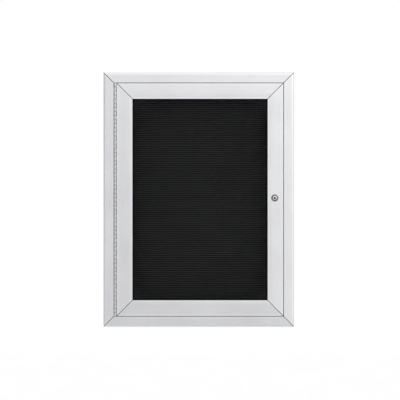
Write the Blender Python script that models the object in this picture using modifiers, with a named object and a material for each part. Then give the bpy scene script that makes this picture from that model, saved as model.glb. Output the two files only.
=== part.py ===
"""Wall-hung name directory board: a shallow aluminium cabinet with a grooved letter board inside,
closed by a glazed door on a continuous hinge, with a cam lock.

Metres, +Z up. The origin is the centre of the cabinet's back face. The front looks along -Y.
Depths are counted from the cabinet's front plane towards the wall, and reaches from the
cabinet's or the door's outer edge towards the middle.
"""

import math

import bmesh
import bpy
from mathutils import Matrix, Vector

# Cabinet
OVERALL_WIDTH = 0.4572
OVERALL_HEIGHT = 0.6096
CABINET_DEPTH = 0.0508
CABINET_FACE = 0.0248
CABINET_WALL = 0.0016
CABINET_EDGE_RADIUS = 0.0050
REVEAL_EDGE_RADIUS = 0.0006
STOP_FLANGE_REACH = 0.0120
REAR_FLANGE_REACH = 0.0160
BACK_PANEL_THICKNESS = 0.0032
BACK_PANEL_EDGE_GAP = 0.0005
CABINET_KEY_THICKNESS = 0.0060
CABINET_KEY_LEG = 0.0500

# Door
DOOR_DEPTH = 0.0190
DOOR_FACE = 0.0375
DOOR_WALL = 0.0018
DOOR_GAP = 0.0014
DOOR_EDGE_RADIUS = 0.0006
WINDOW_EDGE_RADIUS = 0.0020
FRONT_LIP = 0.0024
REAR_LIP = 0.0016
REAR_LIP_SETBACK = 0.0015
GLAZING_POCKET_REACH = 0.0075
DOOR_KEY_LEG = 0.0420

# Window
PANE_THICKNESS = 0.0032
GASKET_WALL = 0.0014
GASKET_SIGHT_LIP = 0.0030

# Door seal
SEAL_THICKNESS = 0.0029
SEAL_WIDTH = 0.0045
SEAL_SETBACK = 0.0005

# Letter board
BOARD_EDGE_GAP = 0.0010
BOARD_BASE = 0.0049
RIDGE_HEIGHT = 0.0034
RIDGE_CROWN = 0.0006
GROOVE_PITCH = 0.0052
GROOVE_WIDTH = 0.0012
CLIP_THICKNESS = 0.0012
CLIP_WIDTH = 0.0140
CLIP_LIP = 0.0060
CLIP_FOOT_MARGIN = 0.0006
CLIP_FROM_END = 0.1150

# Continuous hinge
BARREL_RADIUS = 0.0035
BARREL_PROUD = 0.0006
PIN_RADIUS = 0.0012
LEAF_THICKNESS = 0.0011
LEAF_WIDTH = 0.0160
KNUCKLE_PITCH = 0.0098
KNUCKLE_GAP = 0.0003
FRAME_LEAF_SCREWS = 6
DOOR_LEAF_SCREWS = 5
HINGE_SCREW_PAST_KEY = 0.0100

# Cam lock
LOCK_FROM_DOOR_EDGE = 0.0204
LOCK_ABOVE_MIDDLE = 0.0040
LOCK_HEAD_RADIUS = 0.00875
LOCK_HEAD_HEIGHT = 0.0029
LOCK_HEAD_BEVEL = 0.0022
LOCK_HEAD_RIM = 0.0010
LOCK_BARREL_RADIUS = 0.0070
PLUG_RADIUS = 0.0056
PLUG_RECESS = 0.0006
PLUG_BEVEL = 0.0004
DISH_RADIUS = 0.0024
DISH_DEPTH = 0.0009
KEYWAY_WIDTH = 0.0020
KEYWAY_HEIGHT = 0.0062
KEYWAY_DEPTH = 0.0040
TAIL_SIDE = 0.0050
CAM_THICKNESS = 0.0016
CAM_REACH = 0.0180
CAM_WIDTH = 0.0120
CAM_CLEARANCE = 0.0012
LOCK_WASHER_RADIUS = 0.0092
LOCK_WASHER_THICKNESS = 0.0008
NUT_ACROSS_FLATS = 0.0170
NUT_THICKNESS = 0.0030
CAM_WASHER_RADIUS = 0.0042
CAM_WASHER_THICKNESS = 0.0006

# Fasteners and fixings
PANEL_SCREW = {"head_radius": 0.0034, "head_height": 0.0016, "shank_radius": 0.0017, "length": 0.0080}
HINGE_SCREW = {"head_radius": 0.0024, "head_height": 0.0009, "shank_radius": 0.0012, "length": 0.0060}
CLIP_SCREW = {"head_radius": 0.0024, "head_height": 0.0012, "shank_radius": 0.0012}
CAM_SCREW = {"head_radius": 0.0036, "head_height": 0.0020, "shank_radius": 0.0015, "length": 0.0075}
PAN_HEAD_CROWN = 0.7
PAN_HEAD_RIM = 0.4
PANEL_SCREW_IN = 0.0070
PANEL_SCREW_FROM_END = 0.0850
WALL_HOLE_RADIUS = 0.0035
WALL_HOLE_IN = 0.0550

# Fits
SEAT_GAP = 0.0003
MITRE_GAP = 0.0004
OVERCUT = 0.0010
ROUND_STEPS = 24
SCREW_STEPS = 8
KNUCKLE_STEPS = 16

# Depths and places that follow from the sizes above
HINGE_GAP = 2 * (BARREL_RADIUS + SEAT_GAP)
SEAL_FRONT = DOOR_DEPTH + SEAT_GAP
STOP_FRONT = SEAL_FRONT + SEAL_THICKNESS + SEAT_GAP
STOP_BACK = STOP_FRONT + CABINET_WALL
STOP_EDGE = CABINET_FACE + STOP_FLANGE_REACH
REAR_BACK = CABINET_DEPTH - BACK_PANEL_THICKNESS - SEAT_GAP
REAR_FRONT = REAR_BACK - CABINET_WALL
BOARD_BACK = REAR_FRONT - SEAT_GAP
BOARD_FRONT = BOARD_BACK - BOARD_BASE - RIDGE_HEIGHT
BOARD_EDGE = STOP_EDGE + BOARD_EDGE_GAP
CHANNEL_FRONT = FRONT_LIP + SEAT_GAP
PANE_FRONT = CHANNEL_FRONT + GASKET_WALL + SEAT_GAP
PANE_BACK = PANE_FRONT + PANE_THICKNESS
CHANNEL_BACK = PANE_BACK + SEAT_GAP + GASKET_WALL
POCKET_BACK = CHANNEL_BACK + SEAT_GAP
CAM_FRONT = STOP_BACK + CAM_CLEARANCE
CAM_BACK = CAM_FRONT + CAM_THICKNESS
PLUG_END = CAM_FRONT - SEAT_GAP
CLIP_SCREW["length"] = CLIP_THICKNESS + SEAT_GAP + CABINET_WALL

SIDES = ("top", "bottom", "left", "right")
MEMBER = {"top": "top_rail", "bottom": "bottom_rail", "left": "hinge_stile", "right": "lock_stile"}
INWARD = {"left": 1, "right": -1, "bottom": 1, "top": -1}
CABINET_BOX = {
    "left": -OVERALL_WIDTH / 2,
    "right": OVERALL_WIDTH / 2,
    "bottom": -OVERALL_HEIGHT / 2,
    "top": OVERALL_HEIGHT / 2,
}
DOOR_MARGINS = dict.fromkeys(SIDES, CABINET_FACE + DOOR_GAP) | {"left": CABINET_FACE + HINGE_GAP}
FACING_FRONT = Matrix.Rotation(math.radians(90), 4, "X")
FACING_BACK = Matrix.Rotation(math.radians(-90), 4, "X")


def inset_box(box, margins):
    """A rectangle moved in from another one, side by side."""
    return {side: box[side] + INWARD[side] * margins[side] for side in SIDES}


DOOR_BOX = inset_box(CABINET_BOX, DOOR_MARGINS)
DOOR_HEIGHT = DOOR_BOX["top"] - DOOR_BOX["bottom"]
HINGE_AXIS = Vector((CABINET_BOX["left"] + CABINET_FACE + HINGE_GAP / 2, -CABINET_DEPTH - BARREL_PROUD, 0))
LOCK_AXIS = Vector((DOOR_BOX["right"] - LOCK_FROM_DOOR_EDGE, -CABINET_DEPTH, LOCK_ABOVE_MIDDLE))


def new_collection(name):
    collection = bpy.data.collections.new(name)
    bpy.context.scene.collection.children.link(collection)
    return collection


for startup_object in list(bpy.data.objects):
    bpy.data.objects.remove(startup_object)
PARTS = new_collection("name_directory_board")
CUTTERS = new_collection("cutters")


def material(name, colour, metallic, roughness, alpha=1.0):
    """A plain surface in the part's own colour."""
    made = bpy.data.materials.new(name)
    made.use_nodes = True
    surface = made.node_tree.nodes["Principled BSDF"]
    surface.inputs["Base Color"].default_value = (*colour, 1.0)
    surface.inputs["Metallic"].default_value = metallic
    surface.inputs["Roughness"].default_value = roughness
    surface.inputs["Alpha"].default_value = alpha
    made.diffuse_color = (*colour, alpha)
    return made


ANODISED = material("anodised_aluminium", (0.80, 0.80, 0.82), 1.0, 0.38)
HINGE_METAL = material("hinge_aluminium", (0.74, 0.74, 0.76), 1.0, 0.32)
ZINC = material("zinc_plated_steel", (0.62, 0.62, 0.63), 1.0, 0.35)
CHROME = material("lock_chrome", (0.85, 0.85, 0.87), 1.0, 0.10)
GLASS = material("window_glass", (0.92, 0.97, 0.95), 0.0, 0.03, alpha=0.15)
GASKET_RUBBER = material("gasket_rubber", (0.015, 0.015, 0.016), 0.0, 0.55)
SEAL_FOAM = material("seal_foam", (0.030, 0.030, 0.030), 0.0, 0.90)
LETTER_FELT = material("letter_felt", (0.016, 0.016, 0.016), 0.0, 0.95)
HARDBOARD = material("hardboard", (0.200, 0.120, 0.070), 0.0, 0.60)


def arc(centre_u, centre_v, radius, start, end, steps):
    """Points on an arc, both ends included, with its angles in degrees."""
    turns = [math.radians(start + (end - start) * step / steps) for step in range(steps + 1)]
    return [(centre_u + radius * math.cos(turn), centre_v + radius * math.sin(turn)) for turn in turns]


def circle(radius, steps):
    return arc(0, 0, radius, 0, 360, steps)[:-1]


def rectangle(low_u, high_u, low_v, high_v):
    return [(low_u, low_v), (high_u, low_v), (high_u, high_v), (low_u, high_v)]


def take_mesh(holder):
    """The final mesh of a helper object, welded and facing out. The helper is removed."""
    PARTS.objects.link(holder)
    bpy.context.view_layer.update()
    graph = bpy.context.evaluated_depsgraph_get()
    mesh = bpy.data.meshes.new_from_object(holder.evaluated_get(graph))
    bpy.data.objects.remove(holder)
    work = bmesh.new()
    work.from_mesh(mesh)
    bmesh.ops.remove_doubles(work, verts=work.verts, dist=1e-6)
    bmesh.ops.recalc_face_normals(work, faces=work.faces)
    work.to_mesh(mesh)
    work.free()
    return mesh


def extruded(loops, length):
    """A flat outline with its holes, as a solid centred on the outline's plane."""
    outline = bpy.data.curves.new("outline", "CURVE")
    outline.dimensions = "2D"
    outline.fill_mode = "BOTH"
    outline.extrude = length / 2
    for loop in loops:
        spline = outline.splines.new("POLY")
        spline.points.add(len(loop) - 1)
        for point, (u, v) in zip(spline.points, loop):
            point.co = (u, v, 0, 1)
        spline.use_cyclic_u = True
    return take_mesh(bpy.data.objects.new("outline", outline))


def turned(profile, steps=SCREW_STEPS, ring=False):
    """A (radius, height) profile turned about Z. A ring's profile closes on itself, off the axis."""
    count = len(profile)
    edges = [(i, (i + 1) % count) for i in range(count if ring else count - 1)]
    mesh = bpy.data.meshes.new("profile")
    mesh.from_pydata([(radius, 0, height) for radius, height in profile], edges, [])
    holder = bpy.data.objects.new("profile", mesh)
    screw = holder.modifiers.new("turn", "SCREW")
    screw.steps = steps
    screw.render_steps = steps
    screw.use_merge_vertices = True
    screw.merge_threshold = 0.00001
    return take_mesh(holder)


def joined_copies(mesh, placements):
    """One mesh with a copy at each placement, for a cutter that drills several holes."""
    work = bmesh.new()
    for placement in placements:
        before = len(work.verts)
        work.from_mesh(mesh)
        bmesh.ops.transform(work, matrix=placement, verts=work.verts[before:])
    copies = bpy.data.meshes.new("copies")
    work.to_mesh(copies)
    work.free()
    return copies


def pointing(direction, place):
    """A frame whose Z runs along a direction from a place."""
    turn = Vector(direction).to_track_quat("Z", "Y").to_matrix().to_4x4()
    return Matrix.Translation(place) @ turn


def add_part(name, mesh, finish, parent, placement):
    """The named object of one sub-part, which moves with its parent."""
    if not mesh.materials:
        mesh.name = name
        mesh.materials.append(finish)
        mesh.shade_smooth()
        mesh.set_sharp_from_angle(angle=math.radians(35))
    part = bpy.data.objects.new(name, mesh)
    PARTS.objects.link(part)
    part.parent = parent
    part.matrix_parent_inverse = parent.matrix_world.inverted()
    part.matrix_basis = placement
    return part


def add_copies(name, mesh, finish, parent, placements):
    """Numbered copies of one piece, each its own object on a shared mesh."""
    return [
        add_part(f"{name}_{number}", mesh, finish, parent, placement)
        for number, placement in enumerate(placements, start=1)
    ]


def add_cutter(name, mesh, placements):
    """A hidden mesh that a Boolean takes away, or joins on."""
    cutter = bpy.data.objects.new(name, joined_copies(mesh, placements))
    cutter.hide_render = True
    cutter.display_type = "WIRE"
    CUTTERS.objects.link(cutter)
    return cutter


def combine(part, cutter, operation="DIFFERENCE"):
    boolean = part.modifiers.new(cutter.name, "BOOLEAN")
    boolean.operation = operation
    boolean.object = cutter


def depth_y(depth):
    """World Y of a depth counted from the front plane."""
    return depth - CABINET_DEPTH


def side_frame(side, box):
    """Frame of one side of a rectangle: X runs in from the outer edge, Y is depth, Z runs along."""
    middle_x = (box["left"] + box["right"]) / 2
    middle_z = (box["bottom"] + box["top"]) / 2
    upright = side in ("left", "right")
    place = (box[side] if upright else middle_x, depth_y(0), middle_z if upright else box[side])
    inward = Vector((INWARD[side], 0, 0) if upright else (0, 0, INWARD[side]))
    back = Vector((0, 1, 0))
    turn = Matrix((inward, back, inward.cross(back))).transposed().to_4x4()
    return Matrix.Translation(place) @ turn


def mitred(loops, side, box):
    """A section run along one side of a rectangle, with both ends cut at 45 degrees."""
    upright = side in ("left", "right")
    length = box["top"] - box["bottom"] if upright else box["right"] - box["left"]
    mesh = extruded(loops, length)
    for vertex in mesh.vertices:
        end = math.copysign(1, vertex.co.z)
        vertex.co.z = end * (length / 2 - vertex.co.x - MITRE_GAP / math.sqrt(2))
    return mesh


def slab(box, thickness):
    """A flat sheet that fills a rectangle, centred on its own thickness."""
    return extruded([rectangle(box["left"], box["right"], box["bottom"], box["top"])], thickness)


def pan_screw(size):
    """Its head sits just above Z = 0 and its shank runs down."""
    head, shank, end = size["head_radius"], size["shank_radius"], -size["length"]
    top, rim = SEAT_GAP + size["head_height"], SEAT_GAP + PAN_HEAD_RIM * size["head_height"]
    crown = PAN_HEAD_CROWN * head
    return turned(
        [(0, top), (crown, top), (head, rim), (head, SEAT_GAP), (shank, SEAT_GAP), (shank, end), (0, end)]
    )


def flush_screw(size):
    """A countersunk screw whose head ends at Z = 0."""
    shank, end = size["shank_radius"], -size["length"]
    return turned([(0, 0), (size["head_radius"], 0), (shank, -size["head_height"]), (shank, end), (0, end)])


def drill(radius, depth, steps=SCREW_STEPS):
    """A cutter that starts above Z = 0 and goes down to a depth."""
    return turned([(0, OVERCUT), (radius, OVERCUT), (radius, -depth), (0, -depth)], steps)


def screw_drill(size):
    return drill(size["shank_radius"] + SEAT_GAP, size["length"] + SEAT_GAP)


def flush_drill(size):
    """The countersunk hole of a flush screw."""
    head, shank = size["head_radius"] + SEAT_GAP, size["shank_radius"] + SEAT_GAP
    end = -(size["length"] + SEAT_GAP)
    return turned(
        [(0, OVERCUT), (head, OVERCUT), (head, 0), (shank, -size["head_height"]), (shank, end), (0, end)]
    )


def cabinet_section():
    """Hollow cabinet extrusion: rounded outer edge, door stop and rear flange."""
    face, wall, edge, reveal = CABINET_FACE, CABINET_WALL, CABINET_EDGE_RADIUS, REVEAL_EDGE_RADIUS
    outer = arc(edge, edge, edge, 180, 270, 5)
    outer += arc(face - reveal, reveal, reveal, 270, 360, 2)
    outer += [
        (face, STOP_FRONT),
        (STOP_EDGE, STOP_FRONT),
        (STOP_EDGE, STOP_BACK),
        (face, STOP_BACK),
        (face, REAR_FRONT),
        (face + REAR_FLANGE_REACH, REAR_FRONT),
        (face + REAR_FLANGE_REACH, REAR_BACK),
        (face, REAR_BACK),
        (face, CABINET_DEPTH),
        (0, CABINET_DEPTH),
    ]
    chamber = arc(edge, edge, edge - wall, 180, 270, 3)
    chamber += [(face - wall, wall), (face - wall, CABINET_DEPTH - wall), (wall, CABINET_DEPTH - wall)]
    return [outer, chamber]


def door_section():
    """Hollow door extrusion with the glazing pocket along its inner edge."""
    face, wall, edge, sight = DOOR_FACE, DOOR_WALL, DOOR_EDGE_RADIUS, WINDOW_EDGE_RADIUS
    tube = face - GLAZING_POCKET_REACH
    rear_lip = face - REAR_LIP_SETBACK
    outer = arc(edge, edge, edge, 180, 270, 2)
    outer += arc(face - sight, sight, sight, 270, 360, 4)
    outer += [
        (face, FRONT_LIP),
        (tube, FRONT_LIP),
        (tube, POCKET_BACK),
        (rear_lip, POCKET_BACK),
        (rear_lip, POCKET_BACK + REAR_LIP),
        (tube, POCKET_BACK + REAR_LIP),
        (tube, DOOR_DEPTH),
        (0, DOOR_DEPTH),
    ]
    return [outer, rectangle(wall, tube - wall, wall, DOOR_DEPTH - wall)]


def build_frame(prefix, section, box, parent):
    """Four mitred extrusions around a rectangle."""
    members = {}
    for side in SIDES:
        name = f"{prefix}_{MEMBER[side]}"
        members[side] = add_part(name, mitred(section, side, box), ANODISED, parent, side_frame(side, box))
    return members


def build_corner_keys(prefix, box, reaches, leg, depths, parent):
    """Four L-shaped keys pressed into the extrusions' ends, between two reaches and two depths."""
    (start, end), (front, back) = reaches, depths
    corners = [(start, start), (leg, start), (leg, end), (end, end), (end, leg), (start, leg)]
    middle = depth_y((front + back) / 2)
    for row in ("top", "bottom"):
        for column in ("left", "right"):
            loop = [(INWARD[column] * x, INWARD[row] * z) for x, z in corners]
            place = Matrix.Translation((box[column], middle, box[row])) @ FACING_FRONT
            add_part(f"{prefix}_key_{row}_{column}", extruded([loop], back - front), ANODISED, parent, place)


def build_cabinet_frame(root):
    clear = CABINET_WALL + SEAT_GAP
    reaches = (clear, CABINET_FACE - clear)
    depths = (CABINET_DEPTH - clear - CABINET_KEY_THICKNESS, CABINET_DEPTH - clear)
    build_corner_keys("cabinet", CABINET_BOX, reaches, CABINET_KEY_LEG, depths, root)
    return build_frame("cabinet", cabinet_section(), CABINET_BOX, root)


def build_door_frame(door):
    clear = DOOR_WALL + SEAT_GAP
    reaches = (clear, DOOR_FACE - GLAZING_POCKET_REACH - clear)
    build_corner_keys("door", DOOR_BOX, reaches, DOOR_KEY_LEG, (clear, DOOR_DEPTH - clear), door)
    return build_frame("door", door_section(), DOOR_BOX, door)


def rear_corners(x, z):
    """Four frames on the rear face that look backwards, one in each quarter."""
    return [Matrix.Translation((sx * x, 0, sz * z)) @ FACING_BACK for sx in (-1, 1) for sz in (-1, 1)]


def build_back_panel(root, rails):
    """Hardboard panel, flush in the frame's rear rabbet, with four wall-fixing holes."""
    box = inset_box(CABINET_BOX, dict.fromkeys(SIDES, CABINET_FACE + BACK_PANEL_EDGE_GAP))
    place = Matrix.Translation((0, -BACK_PANEL_THICKNESS / 2, 0)) @ FACING_FRONT
    panel = add_part("back_panel", slab(box, BACK_PANEL_THICKNESS), HARDBOARD, root, place)

    seats = rear_corners(
        CABINET_BOX["right"] - CABINET_FACE - PANEL_SCREW_IN, CABINET_BOX["top"] - PANEL_SCREW_FROM_END
    )
    screw_holes = add_cutter("back_panel_screw_holes", flush_drill(PANEL_SCREW), seats)
    fixings = rear_corners(box["right"] - WALL_HOLE_IN, box["top"] - WALL_HOLE_IN)
    wall_drill = drill(WALL_HOLE_RADIUS, BACK_PANEL_THICKNESS + OVERCUT, ROUND_STEPS)
    combine(panel, add_cutter("wall_fixing_holes", wall_drill, fixings))
    for part in (panel, rails["left"], rails["right"]):
        combine(part, screw_holes)
    add_copies("back_panel_screw", flush_screw(PANEL_SCREW), ZINC, root, seats)


def letter_board_section(height):
    """Rounded ridges with a narrow groove between each two, on a plain base."""
    count = int(height / GROOVE_PITCH)
    floor, top = BOARD_BASE, BOARD_BASE + RIDGE_HEIGHT
    loop = [(-height / 2, 0), (-height / 2, floor)]
    for index in range(count):
        low = (index - count / 2) * GROOVE_PITCH + GROOVE_WIDTH / 2
        high = low + GROOVE_PITCH - GROOVE_WIDTH
        loop += [
            (low, floor),
            (low, top - RIDGE_CROWN),
            (low + RIDGE_CROWN, top),
            (high - RIDGE_CROWN, top),
            (high, top - RIDGE_CROWN),
            (high, floor),
        ]
    return loop + [(height / 2, floor), (height / 2, 0)]


def build_letter_board(root):
    """Felt-covered grooved board, which rests on the rear flange."""
    width, height = OVERALL_WIDTH - 2 * BOARD_EDGE, OVERALL_HEIGHT - 2 * BOARD_EDGE
    board = extruded([letter_board_section(height)], width)
    # the section's X runs down the board, and its Y towards the front
    across = Matrix(((0, 0, -1), (0, -1, 0), (-1, 0, 0))).to_4x4()
    place = Matrix.Translation((0, depth_y(BOARD_BACK), 0)) @ across
    add_part("letter_board", board, LETTER_FELT, root, place)


def build_clips(root, rails):
    """Offset clips: a foot on the rear flange, a riser beside the board and a lip over its face."""
    foot_back = REAR_FRONT - SEAT_GAP
    foot_front = foot_back - CLIP_THICKNESS
    lip_back = BOARD_FRONT - SEAT_GAP
    lip_front = lip_back - CLIP_THICKNESS
    riser_in = BOARD_EDGE - SEAT_GAP
    riser_out = riser_in - CLIP_THICKNESS
    foot_start = CABINET_FACE + CLIP_FOOT_MARGIN
    lip_end = BOARD_EDGE + CLIP_LIP
    section = [
        (foot_start, foot_front),
        (riser_out, foot_front),
        (riser_out, lip_front),
        (lip_end, lip_front),
        (lip_end, lip_back),
        (riser_in, lip_back),
        (riser_in, foot_back),
        (foot_start, foot_back),
    ]
    height = OVERALL_HEIGHT / 2 - CLIP_FROM_END
    frames = [
        side_frame(side, CABINET_BOX) @ Matrix.Translation((0, 0, z))
        for side in ("left", "right")
        for z in (-height, height)
    ]
    to_seat = Matrix.Translation(((foot_start + riser_out) / 2, foot_front, 0)) @ FACING_FRONT
    seats = [frame @ to_seat for frame in frames]
    clips = add_copies("letter_board_clip", extruded([section], CLIP_WIDTH), ANODISED, root, frames)
    holes = add_cutter("clip_screw_holes", screw_drill(CLIP_SCREW), seats)
    for part in (*clips, rails["left"], rails["right"]):
        combine(part, holes)
    add_copies("letter_board_clip_screw", pan_screw(CLIP_SCREW), ZINC, root, seats)


def build_door_seal(root):
    """Four half-round strips on the door stop, which the closed door leans on."""
    box = inset_box(CABINET_BOX, dict.fromkeys(SIDES, STOP_EDGE - SEAL_SETBACK - SEAL_WIDTH))
    base = STOP_FRONT - SEAT_GAP
    half = SEAL_WIDTH / 2
    section = [(half + half * u, base + SEAL_THICKNESS * v) for u, v in arc(0, 0, 1, 180, 360, 6)]
    for side in SIDES:
        add_part(f"door_seal_{side}", mitred([section], side, box), SEAL_FOAM, root, side_frame(side, box))


def build_window(door):
    """Glass pane in four channel gaskets, which show as a thin black line inside the frame."""
    tube = DOOR_FACE - GLAZING_POCKET_REACH
    box = inset_box(DOOR_BOX, dict.fromkeys(SIDES, tube + SEAT_GAP))
    sight = GLAZING_POCKET_REACH - SEAT_GAP + GASKET_SIGHT_LIP
    hidden = GLAZING_POCKET_REACH - SEAT_GAP - REAR_LIP_SETBACK
    section = [
        (0, CHANNEL_FRONT),
        (sight, CHANNEL_FRONT),
        (sight, CHANNEL_FRONT + GASKET_WALL),
        (GASKET_WALL, CHANNEL_FRONT + GASKET_WALL),
        (GASKET_WALL, CHANNEL_BACK - GASKET_WALL),
        (hidden, CHANNEL_BACK - GASKET_WALL),
        (hidden, CHANNEL_BACK),
        (0, CHANNEL_BACK),
    ]
    for side in SIDES:
        channel = mitred([section], side, box)
        add_part(f"window_gasket_{side}", channel, GASKET_RUBBER, door, side_frame(side, box))
    glass = inset_box(box, dict.fromkeys(SIDES, GASKET_WALL + SEAT_GAP))
    place = Matrix.Translation((0, depth_y((PANE_FRONT + PANE_BACK) / 2), 0)) @ FACING_FRONT
    add_part("window_pane", slab(glass, PANE_THICKNESS), GLASS, door, place)


def leaf_section(side):
    """A hinge leaf with its knuckle about the pin. The plate's outer face is tangent to the barrel."""
    outer = -BARREL_RADIUS
    inner = outer + LEAF_THICKNESS
    meets_plate = math.degrees(math.acos(inner / BARREL_RADIUS))
    loop = [(outer, LEAF_WIDTH)]
    loop += arc(0, 0, BARREL_RADIUS, 180, 360 + meets_plate, KNUCKLE_STEPS)
    loop += [(inner, LEAF_WIDTH)]
    bore = circle(PIN_RADIUS + SEAT_GAP, SCREW_STEPS)
    return [[(-side * x, y) for x, y in points] for points in (loop, bore)]


def knuckle_spans():
    """(low, high) of each knuckle, an odd number of them, so that both end ones are alike."""
    count = 2 * int(DOOR_HEIGHT / KNUCKLE_PITCH / 2) + 1
    pitch = DOOR_HEIGHT / count
    return [((i - count / 2) * pitch, (i + 1 - count / 2) * pitch) for i in range(count)]


def clear_knuckles(leaf, spans):
    """Takes the room of the other leaf's knuckles out of a leaf, past its ends for the end ones."""
    width = HINGE_GAP + OVERCUT
    work = bmesh.new()
    for low, high in spans:
        low -= KNUCKLE_GAP / 2 if low > KNUCKLE_GAP - DOOR_HEIGHT / 2 else OVERCUT
        high += KNUCKLE_GAP / 2 if high < DOOR_HEIGHT / 2 - KNUCKLE_GAP else OVERCUT
        size = Matrix.Diagonal((width, HINGE_GAP, high - low, 1))
        bmesh.ops.create_cube(work, size=1, matrix=Matrix.Translation((0, 0, (low + high) / 2)) @ size)
    mesh = bpy.data.meshes.new("knuckle_gaps")
    work.to_mesh(mesh)
    work.free()
    combine(leaf, add_cutter(f"{leaf.name}_knuckle_gaps", mesh, [Matrix.Translation(HINGE_AXIS)]))


def hinge_screw_heights(count):
    """Heights that share out the hinge between the corner keys. The ends stay half a step in."""
    run = DOOR_HEIGHT - 2 * (DOOR_KEY_LEG + HINGE_SCREW_PAST_KEY)
    step = run / (FRAME_LEAF_SCREWS - 1)
    return [(i - (count - 1) / 2) * step for i in range(count)]


def build_hinge_leaf(name, side, parent, stile, other_knuckles, screw_count):
    """One leaf with its screws, whose heads face the other leaf."""
    mesh = extruded(leaf_section(side), DOOR_HEIGHT)
    leaf = add_part(name, mesh, HINGE_METAL, parent, Matrix.Translation(HINGE_AXIS))
    clear_knuckles(leaf, other_knuckles)
    to_plate = Vector((side * (BARREL_RADIUS - LEAF_THICKNESS), (BARREL_RADIUS + LEAF_WIDTH) / 2, 0))
    seats = [
        pointing((-side, 0, 0), HINGE_AXIS + to_plate + Vector((0, 0, height)))
        for height in hinge_screw_heights(screw_count)
    ]
    holes = add_cutter(f"{name}_screw_holes", screw_drill(HINGE_SCREW), seats)
    combine(leaf, holes)
    combine(stile, holes)
    add_copies(f"{name}_screw", pan_screw(HINGE_SCREW), ZINC, parent, seats)


def build_hinge(root, door, cabinet_stile, door_stile):
    """Continuous hinge: two leaves with staggered screws, and the pin."""
    spans = knuckle_spans()
    build_hinge_leaf("hinge_frame_leaf", -1, root, cabinet_stile, spans[1::2], FRAME_LEAF_SCREWS)
    build_hinge_leaf("hinge_door_leaf", 1, door, door_stile, spans[0::2], DOOR_LEAF_SCREWS)
    pin = extruded([circle(PIN_RADIUS, SCREW_STEPS)], DOOR_HEIGHT)
    add_part("hinge_pin", pin, ZINC, root, Matrix.Translation(HINGE_AXIS))


def lock_frame(depth, facing):
    """A frame on the lock's axis at a depth behind the door's front."""
    return Matrix.Translation(LOCK_AXIS + Vector((0, depth, 0))) @ facing


def build_lock_case(door, stile):
    """Lock body through the door stile, with its washer and hex nut behind."""
    head, rise, barrel = LOCK_HEAD_RADIUS, LOCK_HEAD_HEIGHT, LOCK_BARREL_RADIUS
    bore, clear = PLUG_RADIUS + SEAT_GAP, LOCK_BARREL_RADIUS + SEAT_GAP
    profile = [
        (bore, rise),
        (head - LOCK_HEAD_BEVEL, rise),
        (head, SEAT_GAP + LOCK_HEAD_RIM),
        (head, SEAT_GAP),
        (barrel, SEAT_GAP),
        (barrel, -PLUG_END),
        (bore, -PLUG_END),
    ]
    front = lock_frame(0, FACING_FRONT)
    add_part("lock_body", turned(profile, ROUND_STEPS, ring=True), CHROME, door, front)
    combine(stile, add_cutter("lock_hole", drill(clear, DOOR_DEPTH + OVERCUT, ROUND_STEPS), [front]))

    washer_front = DOOR_DEPTH + SEAT_GAP
    washer = rectangle(clear, LOCK_WASHER_RADIUS, -LOCK_WASHER_THICKNESS, 0)
    place = lock_frame(washer_front, FACING_FRONT)
    add_part("lock_washer", turned(washer, ROUND_STEPS, ring=True), ZINC, door, place)

    nut_middle = washer_front + LOCK_WASHER_THICKNESS + SEAT_GAP + NUT_THICKNESS / 2
    corner = NUT_ACROSS_FLATS / 2 / math.cos(math.radians(30))
    # turned so that a flat, not a corner, looks at the door stop
    hexagon = arc(0, 0, corner, 30, 330, 5)
    nut = extruded([hexagon, circle(clear, ROUND_STEPS)], NUT_THICKNESS)
    add_part("lock_nut", nut, ZINC, door, lock_frame(nut_middle, FACING_FRONT))


def build_lock_plug(plug):
    """Plug with a dished keyway in front, and a square tail behind for the cam."""
    face = LOCK_HEAD_HEIGHT - PLUG_RECESS
    profile = [
        (0, face - DISH_DEPTH),
        (DISH_RADIUS / 2, face - DISH_DEPTH),
        (DISH_RADIUS, face),
        (PLUG_RADIUS - PLUG_BEVEL, face),
        (PLUG_RADIUS, face - PLUG_BEVEL),
        (PLUG_RADIUS, -PLUG_END),
        (0, -PLUG_END),
    ]
    front = lock_frame(0, FACING_FRONT)
    body = add_part("lock_plug", turned(profile, ROUND_STEPS), CHROME, plug, front)

    tail_start, half = PLUG_END - OVERCUT, TAIL_SIDE / 2
    tail = extruded([rectangle(-half, half, -half, half)], CAM_BACK - tail_start)
    tail_place = lock_frame((CAM_BACK + tail_start) / 2, FACING_FRONT)
    combine(body, add_cutter("lock_plug_tail", tail, [tail_place]), "UNION")

    half_width, half_height = KEYWAY_WIDTH / 2, KEYWAY_HEIGHT / 2
    keyway = extruded([rectangle(-half_width, half_width, -half_height, half_height)], 2 * KEYWAY_DEPTH)
    combine(body, add_cutter("keyway", keyway, [lock_frame(-face, FACING_FRONT)]))

    seat = lock_frame(CAM_BACK + SEAT_GAP + CAM_WASHER_THICKNESS, FACING_BACK)
    combine(body, add_cutter("cam_screw_hole", screw_drill(CAM_SCREW), [seat]))
    add_part("lock_cam_screw", pan_screw(CAM_SCREW), ZINC, plug, seat)
    ring = rectangle(CAM_SCREW["shank_radius"] + SEAT_GAP, CAM_WASHER_RADIUS, -CAM_WASHER_THICKNESS, 0)
    add_part("lock_cam_washer", turned(ring, SCREW_STEPS, ring=True), ZINC, plug, seat)


def build_lock_cam(plug):
    """Flat cam on the plug's square tail. It hangs down, clear of the door stop, when unlocked."""
    radius, hole = CAM_WIDTH / 2, TAIL_SIDE / 2 + SEAT_GAP
    outline = arc(0, 0, radius, 0, 180, 8) + arc(0, radius - CAM_REACH, radius, 180, 360, 8)
    cam = extruded([outline, rectangle(-hole, hole, -hole, hole)], CAM_THICKNESS)
    add_part("lock_cam", cam, ZINC, plug, lock_frame((CAM_FRONT + CAM_BACK) / 2, FACING_FRONT))


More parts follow.
